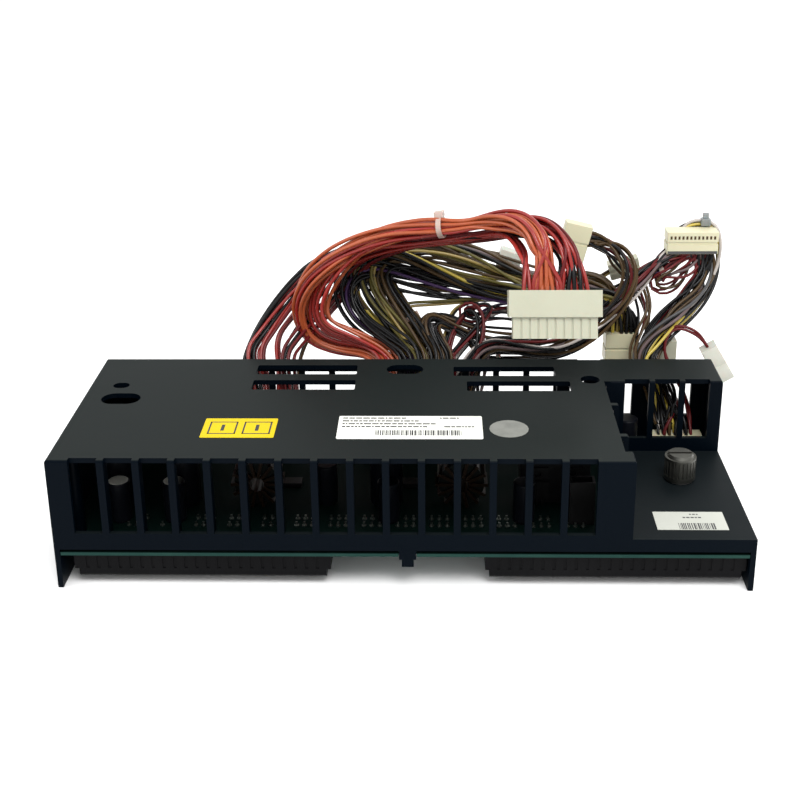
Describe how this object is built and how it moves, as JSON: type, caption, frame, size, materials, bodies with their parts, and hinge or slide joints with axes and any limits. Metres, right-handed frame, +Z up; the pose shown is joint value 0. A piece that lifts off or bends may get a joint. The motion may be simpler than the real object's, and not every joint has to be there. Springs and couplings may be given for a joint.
{
  "type": "power supply backplane",
  "caption": "Vented black cover over a circuit board, with edge sockets below, a captive thumbscrew on its low shelf and a wire harness with plugs.",
  "frame": {"origin": "bottom centre of the cover, on the surface its side walls stand on", "axes": "+X along the length towards the thumbscrew, +Y away from the vented front, +Z up"},
  "size_m": [0.3351, 0.1763, 0.15],
  "materials": {
    "cover_plastic": "fine moulded texture",
    "board": "satin solder mask",
    "socket_plastic": "satin",
    "contact_metal": "plated",
    "tinned_metal": "tinned",
    "screw_steel": "zinc plated",
    "thumbscrew_metal": "nickel plated",
    "capacitor_sleeve": "shrunk sleeve",
    "ferrite": "coated",
    "copper": "enamelled",
    "heat_sink_metal": "plain",
    "chip_plastic": "moulded",
    "white_nylon": "satin",
    "cream_nylon": "satin",
    "clear_nylon": "milky",
    "wire_red": "smooth insulation",
    "wire_black": "smooth insulation",
    "wire_dark_red": "smooth insulation",
    "wire_yellow": "smooth insulation",
    "wire_olive": "smooth insulation",
    "tie_nylon": "milky"
  },
  "bodies": {
    "backplane": {"cover": "cover_plastic", "circuit_board": "board", "edge_connector_left": "socket_plastic", "edge_connector_right": "socket_plastic", "edge_contacts_left": "contact_metal", "edge_contacts_right": "contact_metal", "terminal_pins": "tinned_metal", "cover_screws": "screw_steel", "thumbscrew_ferrule": "screw_steel", "capacitors_small": "capacitor_sleeve", "capacitors_large": "capacitor_sleeve", "choke_cores": "ferrite", "choke_windings": "copper", "heat_sink": "heat_sink_metal", "transistors": "chip_plastic", "control_chips": "chip_plastic", "sense_header": "white_nylon", "output_header_left": "cream_nylon", "output_header_middle": "cream_nylon", "output_header_tower": "cream_nylon", "header_pins": "tinned_metal", "plug_main": "white_nylon", "plug_clear": "clear_nylon", "plug_cream": "cream_nylon", "plug_white": "white_nylon", "plug_tall": "cream_nylon", "plug_two_row": "cream_nylon", "plug_corner": "clear_nylon", "plug_tower": "white_nylon", "wires_main_red": "wire_red", "wires_main_black": "wire_black", "wires_main_inner": "wire_red", "wires_clear_plug": "wire_dark_red", "wires_cream_outer": "wire_yellow", "wires_cream_inner": "wire_olive", "wires_white_plug": "wire_yellow", "wires_tall_plug": "wire_dark_red", "wires_two_row_left": "wire_black", "wires_two_row_right": "wire_black", "wires_corner_plug": "wire_red", "wires_tower_plug": "wire_black", "cable_ties": "tie_nylon"},
    "thumbscrew": {"thumbscrew": "thumbscrew_metal", "thumbscrew_retaining_ring": "screw_steel"}
  },
  "joints": [
    {"name": "thumbscrew_turn", "type": "hinge", "parent": "backplane", "child": "thumbscrew", "pos_m": [0.1349, -0.001, 0.0265], "axis": [0, 0, 1], "continuous": true}
  ]
}
